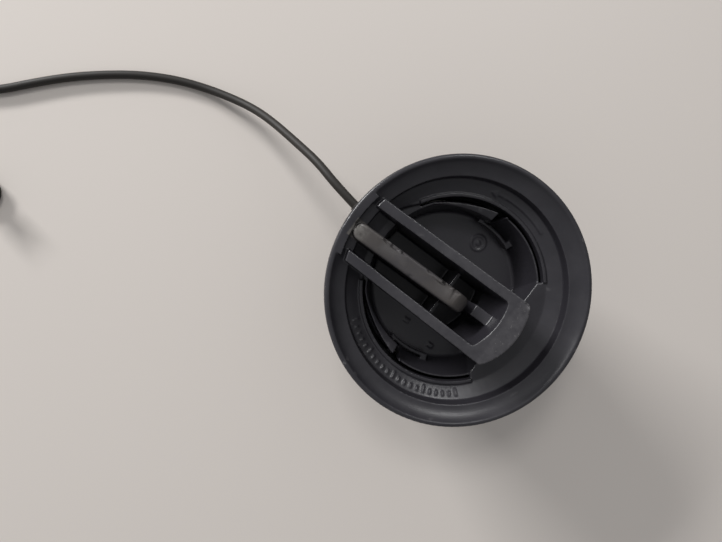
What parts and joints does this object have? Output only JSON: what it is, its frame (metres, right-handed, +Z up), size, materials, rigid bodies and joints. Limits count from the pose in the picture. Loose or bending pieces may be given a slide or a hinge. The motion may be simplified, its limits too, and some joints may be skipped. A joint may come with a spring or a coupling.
{
  "type": "fuel filler cap",
  "caption": "Dished black screw cap with an open, ribbed handle, finger recesses, a ratchet-driven threaded closure, a breather valve and a trailing tether.",
  "frame": {"origin": "on the cap's axis at the foot of the closure's skirt", "axes": "+Z up along the cap's axis through the cover, +X along the handle towards its high free end"},
  "size_m": [0.2071, 0.1134, 0.052],
  "materials": {
    "cover_plastic": "moulded black plastic, lightly scuffed",
    "closure_plastic": "moulded dark plastic",
    "ring_plastic": "natural acetal",
    "tether_plastic": "flexible black plastic",
    "seal_rubber": "black rubber",
    "spring_steel": "spring wire"
  },
  "bodies": {
    "closure": {"closure": "closure_plastic", "neck_gasket": "seal_rubber", "valve_housing": "closure_plastic", "housing_oring": "seal_rubber", "spring_retainer": "ring_plastic"},
    "cover": {"cover": "cover_plastic", "torque_ring": "ring_plastic"},
    "tether": {"tether_ring": "tether_plastic", "tether_strap": "tether_plastic", "tether_anchor": "tether_plastic"},
    "pressure_valve": {"pressure_plate": "ring_plastic", "pressure_seal": "seal_rubber", "pressure_spring": "spring_steel"},
    "vacuum_valve": {"vacuum_valve": "ring_plastic", "vacuum_clip": "ring_plastic", "vacuum_spring": "spring_steel"}
  },
  "joints": [
    {"name": "cover_ratchet", "type": "hinge", "parent": "closure", "child": "cover", "pos_m": [0, 0, 0.03], "axis": [0, 0, 1], "continuous": true, "deforming": ["torque_ring"]},
    {"name": "tether_swivel", "type": "hinge", "parent": "closure", "child": "tether", "pos_m": [0, 0, 0.0327], "axis": [0, 0, 1], "continuous": true},
    {"name": "pressure_relief", "type": "slide", "parent": "closure", "child": "pressure_valve", "axis": [0, 0, 1], "range_m": [0, 0.002], "stiffness_N_per_m": 300, "springref_m": -0.003, "deforming": ["pressure_spring"]},
    {"name": "vacuum_relief", "type": "slide", "parent": "pressure_valve", "child": "vacuum_valve", "axis": [0, 0, -1], "range_m": [0, 0.0014], "stiffness_N_per_m": 60, "springref_m": -0.003, "deforming": ["vacuum_spring"]}
  ]
}
